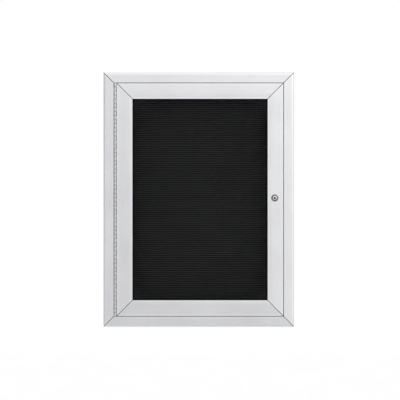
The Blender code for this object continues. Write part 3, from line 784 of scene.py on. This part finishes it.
def letterBoard():
    size = board
    low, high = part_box("letter_board")
    count = int((high.z - low.z) / size["pitch"])
    start = (low.z + high.z - count * size["pitch"]) / 2
    stop, baseFront = start + size["pitch"], low.y + size["ridge"]
    piece = startBox("ridged_letter_board", (low.x, baseFront, start), (high.x, high.y, stop))
    rim = size["groove"] / 2
    pullStrip(1, baseFront, 2, start + rim, stop - rim, -size["ridge"])
    for height in (start + rim, stop - rim):
        roundEdgesAt(size["crown"], size["crownSteps"], y=low.y, z=height)
    for height in (start, stop):
        pickFaces(across(2, height))
        bpy.ops.mesh.delete(type="FACE")
    openMode("OBJECT")
    repeatUp(piece, count, size["pitch"], use_merge_vertices=True, merge_threshold=tiny)
    openMode("EDIT")
    for end, edge in ((start, low.z), (start + count * size["pitch"], high.z)):
        pickEdgesAt(z=end)
        extrude(0, 0, edge - end)
        bpy.ops.mesh.edge_face_add()
    tidyMesh()
    return piece


finishPiece(letterBoard(), "cabinet", feltFinish, ["letter_board"], 50)
print("letter board made")


# Clips that hold the letter board

clip = {"thickness": 0.0012, "width": 0.0140, "foot": (0.0254, 0.0442), "riser": 0.0363,
        "lipFront": 0.0356, "lipEnd": 0.0438, "bend": 0.0011, "innerBend": 0.0003, "corner": 0.0022,
        "edge": 0.00012, "fromMiddle": 0.1898}


def boardClip(name):
    size = clip
    wall, half = size["thickness"], size["width"] / 2
    start, footFront = size["foot"]
    riser, inner = size["riser"], size["riser"] + wall
    footBack, lipFront, lipBack = footFront + wall, size["lipFront"], size["lipFront"] + wall
    piece = startBox(name, (start, footFront, -half), (inner, footBack, half))
    pullStrip(1, footFront, 0, riser, inner, lipFront - footFront)
    pullStrip(0, inner, 1, lipFront, lipBack, size["lipEnd"] - inner)
    for x, y in ((riser, lipFront), (inner, footBack)):
        roundEdgesAt(size["bend"], 5, x=x, y=y)
    for x, y in ((riser, footFront), (inner, lipBack)):
        roundEdgesAt(size["innerBend"], 2, x=x, y=y)
    for x in (start, size["lipEnd"]):
        pickEdges(lambda a, b: abs(a.x - x) < tiny and abs(b.x - x) < tiny and abs(a.z - b.z) < tiny)
        roundOff(size["corner"], 4)
    tidyMesh()
    softenEdges(piece, size["edge"], 50)
    return piece


clipPlaces = itertools.product(("left", "right"), (-clip["fromMiddle"], clip["fromMiddle"]))
for number, (side, height) in enumerate(clipPlaces, 1):
    piece = boardClip(f"board_clip_{number}")
    putAt(piece, sidePlace(side, cabinetBox) @ Matrix.Translation((0, 0, height)))
    node = f"letter_board_clip_{number}"
    finishPiece(piece, "cabinet", frameFinish["left"], [node])
print("clips made")


# Back panel

panel = {"wallHole": 0.0035, "fixing": 0.0550, "edge": 0.0004}


def backPanel():
    low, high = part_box("back_panel")
    piece = startBox("hardboard_back", low, high)
    tidyMesh()
    facingBack = Matrix.Rotation(math.radians(-90), 4, "X")
    for x in (low.x + panel["fixing"], high.x - panel["fixing"]):
        for z in (low.z + panel["fixing"], high.z - panel["fixing"]):
            place = Matrix.Translation((x, 0, z)) @ facingBack
            drillHole(piece, panel["wallHole"], -drillReach, drillReach, 40, place)
    softenEdges(piece, panel["edge"], 60)
    return piece


finishPiece(backPanel(), "cabinet", boardFinish, ["back_panel"])
print("back panel made")


# Continuous hinge: knuckles in turn on the cabinet's leaf and on the door's

hinge = {"barrel": 0.0027, "pin": 0.0012, "bore": 0.0014, "leaf": 0.0011, "leafOut": 0.0035,
         "leafWidth": 0.0160, "pitch": 0.0098, "gap": 0.0009, "notch": 0.0038, "chamfer": 0.0007,
         "corners": 32, "arm": (135, 180),     # degrees round the barrel where the arm to the leaf starts
         "overlap": 0.0006, "pinEdge": 0.0004, "longer": 0.0009}      # longer than the CAD's at each end


def hingeAxis():
    low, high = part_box("hinge_pin")
    return (low + high) / 2, high.z - low.z + 2 * hinge["longer"]


def hingeKnuckle(name, height):
    # a comma: the barrel, with an arm off to its leaf. It's modelled for the cabinet's side
    radius, size = hinge["barrel"], hinge
    armStart, armEnd = size["arm"]
    clearSelection()
    bpy.ops.mesh.primitive_circle_add(vertices=size["corners"], radius=radius, fill_type="NOTHING",
                                      location=(0, 0, -height / 2))
    piece = adopt(name)
    bpy.ops.mesh.select_mode(type="VERT")
    for vertex in editMesh().verts:
        angle = math.degrees(math.atan2(vertex.co.y, vertex.co.x))
        vertex.select_set(armStart + 1 < angle < armEnd - 1)
    showPicked()
    bpy.ops.mesh.delete(type="VERT")
    reach = size["notch"] + size["overlap"]
    for angle, out in ((armStart, size["leafOut"] - size["leaf"]), (armEnd, size["leafOut"])):
        selectAll("DESELECT")
        turn = math.radians(angle)
        place = Vector((radius * math.cos(turn), radius * math.sin(turn), -height / 2))
        end = min(editMesh().verts, key=lambda vertex: (vertex.co - place).length)
        end.select_set(True)
        showPicked()
        extrude(-out - place.x, reach - place.y, 0)
    selectAll()
    bpy.ops.mesh.edge_face_add()
    extrude(0, 0, height)
    for end in (-height / 2, height / 2):
        pickEdges(lambda a, b: abs(a.z - end) < tiny and abs(b.z - end) < tiny
                  and max(a.y, b.y) < size["notch"] - tiny)
        roundOff(size["chamfer"], 2)
    tidyMesh()
    drillHole(piece, size["bore"], -height, height, 20)
    return piece


def hingeLeaf(name, side, first, count, pitch, span):
    size = hinge
    outer, inner = -size["leafOut"], size["leaf"] - size["leafOut"]
    knuckles = hingeKnuckle(name, pitch - size["gap"])
    putAt(knuckles, Matrix.Translation((0, 0, first)))
    repeatUp(knuckles, count, 2 * pitch)
    plate = startBox("plate", (outer, size["notch"], -span / 2), (inner, size["leafWidth"], span / 2))
    tidyMesh()
    combine(knuckles, plate, "UNION")
    if side > 0:
        choose(knuckles)
        openMode("EDIT")
        selectAll()
        resize(-1, 1)
        tidyMesh()
    return knuckles


axisPlace, hingeSpan = hingeAxis()
knuckleCount = 2 * int(hingeSpan / hinge["pitch"] / 2) + 1
knucklePitch = hingeSpan / knuckleCount
lowest = -(knuckleCount - 1) / 2 * knucklePitch
frameCount, doorCount = knuckleCount // 2 + 1, knuckleCount // 2
leaves = (("hinge_leaf_cabinet", -1, lowest, frameCount, "cabinet", "hinge_frame_leaf"),
          ("hinge_leaf_door", 1, lowest + knucklePitch, doorCount, "door", "hinge_door_leaf"))
for name, side, first, count, body, node in leaves:
    leaf = hingeLeaf(name, side, first, count, knucklePitch, hingeSpan)
    putAt(leaf, Matrix.Translation(axisPlace))
    finishPiece(leaf, body, hingeFinish, [node], 30)

pin = startCylinder("hinge_pin_rod", hinge["pin"], -hingeSpan / 2, hingeSpan / 2, 24)
for end in (-hingeSpan / 2, hingeSpan / 2):
    roundEdgesAt(hinge["pinEdge"], 3, z=end)
tidyMesh()
putAt(pin, Matrix.Translation(axisPlace))
finishPiece(pin, "cabinet", keyFinish, ["hinge_pin"])
print("hinge made,", knuckleCount, "knuckles")


# Screws: cross-recessed heads, modelled with the head's top at Z = 0 and copied

screwKinds = {
    "hinge": {"head": 0.0024, "height": 0.0009, "shank": 0.0012, "length": 0.0072, "dome": 0.62},
    "clip": {"head": 0.0024, "height": 0.0012, "shank": 0.0012, "length": 0.0046, "dome": 0.62},
    "cam": {"head": 0.0036, "height": 0.0020, "shank": 0.0015, "length": 0.0098, "dome": 0.62},
    "panel": {"head": 0.0034, "height": 0.0016, "shank": 0.0017, "length": 0.0080, "rim": 0.0003},
}
# the cross's arms and width are parts of the head's radius, and its depth is a part of the head's height
cross = {"arm": 0.52, "width": 0.115, "depth": 0.62, "above": 0.0005}
pointTaper = 0.55


def crossDriver(size):
    arm, wide = size["head"] * cross["arm"], size["head"] * cross["width"]
    deep = size["height"] * cross["depth"]
    piece = startBox("driver", (-wide, -wide, -deep), (wide, wide, cross["above"]))
    for axis in (0, 1):
        for way in (-1, 1):
            pickFaces(across(axis, way * wide))
            move = [0, 0, 0]
            move[axis] = way * (arm - wide)
            extrude(*move)
    # the point is narrower than the mouth
    pickFaces(across(2, -deep))
    resize(pointTaper, pointTaper, about=(0, 0, -deep))
    tidyMesh()
    return piece


def modelScrew(kind):
    size = screwKinds[kind]
    head, height, shank = size["head"], size["height"], size["shank"]
    if "dome" in size:
        screw = startCylinder(f"{kind}_screw", head, -height, 0, 32)
        roundEdgesAt(size["dome"] * height, 4, z=0)
        pickFaces(across(2, -height))
        bpy.ops.mesh.inset(thickness=head - shank)
    else:
        screw = startCylinder(f"{kind}_screw", head, -size["rim"], 0, 32)
        pickFaces(across(2, -size["rim"]))
        extrude(0, 0, size["rim"] - height)
        resize(shank / head, shank / head, about=(0, 0, -height))
    extrude(0, 0, height - size["length"])
    resize(pointTaper, pointTaper, about=(0, 0, -size["length"]))
    tidyMesh()
    combine(screw, crossDriver(size))
    return screw


def placeScrew(model, node, towards, body):
    low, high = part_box(node)
    middle = (low + high) / 2
    top = Vector([(high if way > 0 else low)[axis] if way else middle[axis]
                  for axis, way in enumerate(towards)])
    screw = copyOf(model, f"{node}_drive")
    turn = Vector(towards).to_track_quat("Z", "Y").to_matrix().to_4x4()
    spin = Matrix.Rotation(math.radians(next(screwTurns)), 4, "Z")
    putAt(screw, Matrix.Translation(top) @ turn @ spin)
    finishPiece(screw, body, zincFinish, [node])


screwTurns = itertools.cycle([12, 49, 86, 5, 33, 71, 60])      # degrees: no two neighbours line up
models = {kind: modelScrew(kind) for kind in screwKinds}
for number in range(1, 7):
    placeScrew(models["hinge"], f"hinge_frame_leaf_screw_{number}", (1, 0, 0), "cabinet")
for number in range(1, 6):
    placeScrew(models["hinge"], f"hinge_door_leaf_screw_{number}", (-1, 0, 0), "door")
for number in range(1, 5):
    placeScrew(models["clip"], f"letter_board_clip_screw_{number}", (0, -1, 0), "cabinet")
    placeScrew(models["panel"], f"back_panel_screw_{number}", (0, 1, 0), "cabinet")
placeScrew(models["cam"], "lock_cam_screw", (0, 1, 0), "lock_plug")
for model in models.values():
    bpy.data.objects.remove(model)
print("screws made")


# Cam lock, modelled with Z towards the viewer and 0 on the door's front

lock = {
    "head": 0.00860, "rise": 0.0025, "cone": 0.0004, "seat": 0.0003, "bevel": 0.0018, "rim": 0.0003,
    "bore": 0.0059, "lip": 0.0050, "lipBack": 0.0021,
    "barrel": 0.0070, "end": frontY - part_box("lock_body")[1].y, "threadPitch": 0.0010, "threadDepth": 0.955,
    "plug": 0.0056, "plugFace": 0.0019, "plugBevel": 0.0005, "crown": 0.0006,
    "dish": 0.0024, "dishDepth": 0.0016, "keyway": (0.0042, 0.0054, 0.0095), "ward": 0.0006,
    "tail": 0.0050, "tailEnd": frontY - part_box("lock_plug")[1].y, "tailFit": 0.0002,
    "washer": (0.0092, 0.0072, 0.00015),   # outer and inner radius, and how much the edges are softened
    "camWasher": (0.0042, 0.0017, 0.00012),
    "nutFlats": 0.0170, "nutChamfer": 0.0007, "nutFit": 0.0001,
    "camRadius": 0.0060, "camReach": 0.0180, "camEdge": 0.0002,
}


def lockSeat(node):
    # a flat part's thickness, and its place behind the lock's face
    low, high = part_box(node)
    return high.y - low.y, Matrix.Translation((lockAxis.x, (low.y + high.y) / 2, lockAxis.z)) @ facingFront


def lockBody():
    size = lock
    piece = startCylinder("lock_case", size["head"], size["seat"], size["rise"], 72)
    roundEdgesAt(size["bevel"], 7, 0.56, z=size["rise"])
    pickFaces(across(2, size["rise"]))
    bpy.ops.mesh.inset(thickness=size["head"] - size["bevel"] - size["lip"] - size["rim"])
    shift(0, 0, size["cone"])
    pickFaces(across(2, size["seat"]))
    bpy.ops.mesh.inset(thickness=size["head"] - size["barrel"])
    extrude(0, 0, size["end"] - size["seat"])
    # thread: rings along the barrel, every second one drawn in
    pickEdges(lambda a, b: abs(a.z - b.z) > 0.02 and a.xy.length < size["barrel"] + tiny)
    length, narrow = size["seat"] - size["end"], size["threadDepth"]
    rings = 2 * int(length / size["threadPitch"]) - 1
    bpy.ops.mesh.subdivide(number_cuts=rings)
    for ring in range(1, rings + 1, 2):
        pickEdgesAt(z=size["seat"] - ring * length / (rings + 1))
        resize(narrow, narrow)
    tidyMesh()
    # the bore for the plug stops behind a lip, and a smaller hole goes on through it
    drillHole(piece, size["bore"], -drillReach, size["lipBack"], 72)
    drillHole(piece, size["lip"], 0.0, drillReach, 72)
    putAt(piece, lockPlace)
    return piece


def lockPlug():
    size = lock
    face, radius = size["plugFace"], size["plug"]
    piece = startCylinder("lock_barrel_plug", radius, size["end"], face, 72)
    roundEdgesAt(size["plugBevel"], 3, z=face)
    pickFaces(across(2, face))
    bpy.ops.mesh.inset(thickness=radius - size["plugBevel"] - size["dish"])
    shift(0, 0, size["crown"])
    bpy.ops.mesh.inset(thickness=size["dish"] / 4)
    shift(0, 0, -size["dishDepth"])
    tidyMesh()
    half = size["tail"] / 2
    tail = startBox("tail", (-half, -half, size["tailEnd"]), (half, half, size["end"] + 0.001))
    tidyMesh()
    combine(piece, tail, "UNION")
    wide, high, deep = size["keyway"]
    slot = startBox("slot", (-wide / 2, -high / 2, face - deep), (wide / 2, high / 2, 0.01))
    pullStrip(0, wide / 2, 1, -high / 6, high / 10, size["ward"])
    tidyMesh()
    combine(piece, slot)
    putAt(piece, lockPlace)
    return piece


def lockNut():
    size = lock
    thick, place = lockSeat("lock_nut")
    corner = size["nutFlats"] / 2 / math.cos(math.radians(30))
    piece = startCylinder("lock_hex_nut", corner, -thick / 2, thick / 2, 6)
    tidyMesh()
    limit = startCylinder("limit", corner + size["nutFit"], -thick / 2, thick / 2, 72)
    for end in (-thick / 2, thick / 2):
        roundEdgesAt(size["nutChamfer"], 1, z=end)
    tidyMesh()
    combine(piece, limit, "INTERSECT")
    drillHole(piece, size["barrel"] + size["nutFit"], -drillReach, drillReach)
    putAt(piece, place)
    return piece


def flatRing(name, node, outer, inner, soft):
    thick, place = lockSeat(node)
    piece = startCylinder(name, outer, -thick / 2, thick / 2, 56)
    tidyMesh()
    drillHole(piece, inner, -drillReach, drillReach, 40)
    softenEdges(piece, soft, 50)
    putAt(piece, place)
    return piece


def lockCam():
    size = lock
    thick, place = lockSeat("lock_cam")
    radius, drop = size["camRadius"], size["camRadius"] - size["camReach"]
    piece = startCylinder("lock_cam_arm", radius, -thick / 2, thick / 2, 48)
    clearSelection()
    bpy.ops.mesh.primitive_cylinder_add(vertices=48, radius=radius, depth=thick, location=(0, drop, 0))
    bpy.context.object.select_set(True)
    piece.select_set(True)
    bpy.context.view_layer.objects.active = piece
    bpy.ops.object.join()
    openMode("EDIT")
    selectAll()
    bpy.ops.mesh.convex_hull()
    tidyMesh()
    half = size["tail"] / 2 + size["tailFit"]
    hole = startBox("hole", (-half, -half, -drillReach), (half, half, drillReach))
    tidyMesh()
    combine(piece, hole)
    softenEdges(piece, size["camEdge"], 50)
    putAt(piece, place)
    return piece


finishPiece(lockBody(), "door", bezelFinish, ["lock_body"], 28)
finishPiece(lockPlug(), "lock_plug", plugFinish, ["lock_plug"], 28)
finishPiece(lockNut(), "door", zincFinish, ["lock_nut"], 28)
ring = flatRing("lock_flat_washer", "lock_washer", *lock["washer"])
finishPiece(ring, "door", zincFinish, ["lock_washer"])
ring = flatRing("cam_flat_washer", "lock_cam_washer", *lock["camWasher"])
finishPiece(ring, "lock_plug", zincFinish, ["lock_cam_washer"])
finishPiece(lockCam(), "lock_plug", zincFinish, ["lock_cam"])
print("lock made")


# CAD nodes whose shape stays as it is

def refinish(node, finish):
    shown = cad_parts[node]
    shown.data.materials.clear()
    shown.data.materials.append(finish)


refinish("window_pane", glassFinish)
for prefix in ("cabinet", "door"):
    for row in ("top", "bottom"):
        for column in ("left", "right"):
            refinish(f"{prefix}_key_{row}_{column}", keyFinish)
print("CAD nodes refinished")


# Floor, light and camera

studio = {
    "floorDrop": 1.50,                     # the board hangs at eye level
    "floorSize": 16.0,
    "keyPlace": (1.7, -2.5, 1.7), "keySize": 2.0, "keyPower": 9.0,
    "sidePlace": (2.0, -1.2, 2.0), "sideSize": 0.6, "sidePower": 3.0,
    "floorGlow": 0.36, "floorMirrored": 0.10,
    "ambient": 0.72,
    # the room that metal and glass see: its level, how it grows to the right and upwards, and its limits
    "roomLevel": 1.045, "roomAcross": 0.72, "roomUp": 0.30, "roomLeast": 0.52, "roomMost": 1.20,
    "roomRight": 0.84, "roomTop": 0.94, "roomFade": (0.30, 0.70),
    "doorway": (-0.9954, -0.9877), "doorwayDark": 0.94,      # a dark doorway behind the camera
    "lens": 100.0, "sensor": 36.0, "distance": 2.6590,
    "aim": (0.0030, -0.0010),
}


def areaLamp(name, place, size, power):
    data = bpy.data.lights.new(name, "AREA")
    data.shape = "SQUARE"
    data.size = size
    data.energy = power
    lamp = bpy.data.objects.new(name, data)
    bpy.context.scene.collection.objects.link(lamp)
    lamp.location = place
    lamp.rotation_euler = (-Vector(place)).to_track_quat("-Z", "Y").to_euler()


def paleFloor():
    clearSelection()
    bpy.ops.mesh.primitive_plane_add(size=studio["floorSize"], location=(0, 0, -studio["floorDrop"]))
    floor = bpy.context.object
    floor.name = "floor"
    material, tree, shader = startMaterial("paleFloor", {"Roughness": 0.9, "Specular IOR Level": 0.1})
    mottle = noise(tree, 3.0, 2.0, 0.5)
    colour = twoTone(tree, mottle, grey(0.86), grey(0.88))
    tree.links.new(colour, shader.inputs["Base Color"])
    shader.inputs["Emission Color"].default_value = (1, 1, 1, 1)
    path = addNode(tree, "ShaderNodeLightPath")
    seen = arithmetic(tree, "MAXIMUM", path.outputs["Is Camera Ray"], path.outputs["Is Transmission Ray"])
    glow = arithmetic(tree, "ADD", arithmetic(tree, "MULTIPLY", seen, studio["floorGlow"]),
                      arithmetic(tree, "MULTIPLY", path.outputs["Is Glossy Ray"], studio["floorMirrored"]))
    tree.links.new(glow, shader.inputs["Emission Strength"])
    floor.data.materials.append(material)
    floor.select_set(False)


def studioWorld():
    # the camera sees white, and metal and glass see a room that is lighter up and to the right
    world = bpy.data.worlds.new("studioWorld")
    bpy.context.scene.world = world
    world.use_nodes = True
    tree = world.node_tree
    ambient = tree.nodes["Background"]
    ambient.inputs["Color"].default_value = (1, 1, 1, 1)
    ambient.inputs["Strength"].default_value = studio["ambient"]
    path = addNode(tree, "ShaderNodeLightPath")
    x, y, z = splitUp(tree, addNode(tree, "ShaderNodeTexCoord").outputs["Generated"])
    level = arithmetic(tree, "ADD", arithmetic(tree, "MULTIPLY", x, studio["roomAcross"]),
                       arithmetic(tree, "MULTIPLY", z, studio["roomUp"]))
    level = arithmetic(tree, "ADD", level, studio["roomLevel"])
    level = arithmetic(tree, "MAXIMUM", level, studio["roomLeast"])
    unlit = remap(tree, y, studio["doorwayDark"], 0.0, *studio["doorway"])
    level = arithmetic(tree, "MULTIPLY", level, arithmetic(tree, "SUBTRACT", 1.0, unlit))
    level = arithmetic(tree, "MAXIMUM", level, remap(tree, y, 0.0, 1.0, 0.1, 0.4))
    for way, least in ((x, studio["roomRight"]), (z, studio["roomTop"])):
        limit = remap(tree, way, studio["roomMost"], least, *studio["roomFade"])
        level = arithmetic(tree, "MINIMUM", level, limit)
    plain = (1, 1, 1, 1)
    room = addNode(tree, "ShaderNodeBackground", {}, {"Color": plain, "Strength": level})
    white = addNode(tree, "ShaderNodeBackground", {}, {"Color": plain, "Strength": 1.0})
    mirrored = arithmetic(tree, "MAXIMUM", path.outputs["Is Glossy Ray"], path.outputs["Is Transmission Ray"])
    metal = addNode(tree, "ShaderNodeMixShader", {}, {0: mirrored, 1: ambient.outputs[0], 2: room.outputs[0]})
    final = addNode(tree, "ShaderNodeMixShader", {},
                    {0: path.outputs["Is Camera Ray"], 1: metal.outputs[0], 2: white.outputs[0]})
    tree.links.new(final.outputs[0], tree.nodes["World Output"].inputs["Surface"])


def frontCamera():
    data = bpy.data.cameras.new("frontCamera")
    data.lens = studio["lens"]
    data.sensor_width = studio["sensor"]
    data.clip_end = 60
    camera = bpy.data.objects.new("frontCamera", data)
    bpy.context.scene.collection.objects.link(camera)
    x, z = studio["aim"]
    camera.location = (x, frontY - studio["distance"], z)
    camera.rotation_euler = (math.radians(90), 0, 0)
    bpy.context.scene.camera = camera


for leftover in [o for o in bpy.data.objects if o.type in ("LIGHT", "CAMERA")]:
    bpy.data.objects.remove(leftover)
for lamp in ("key", "side"):
    areaLamp(f"{lamp}Lamp", studio[f"{lamp}Place"], studio[f"{lamp}Size"], studio[f"{lamp}Power"])
paleFloor()
studioWorld()
frontCamera()
bpy.context.scene.view_settings.view_transform = "Standard"
print("studio ready")
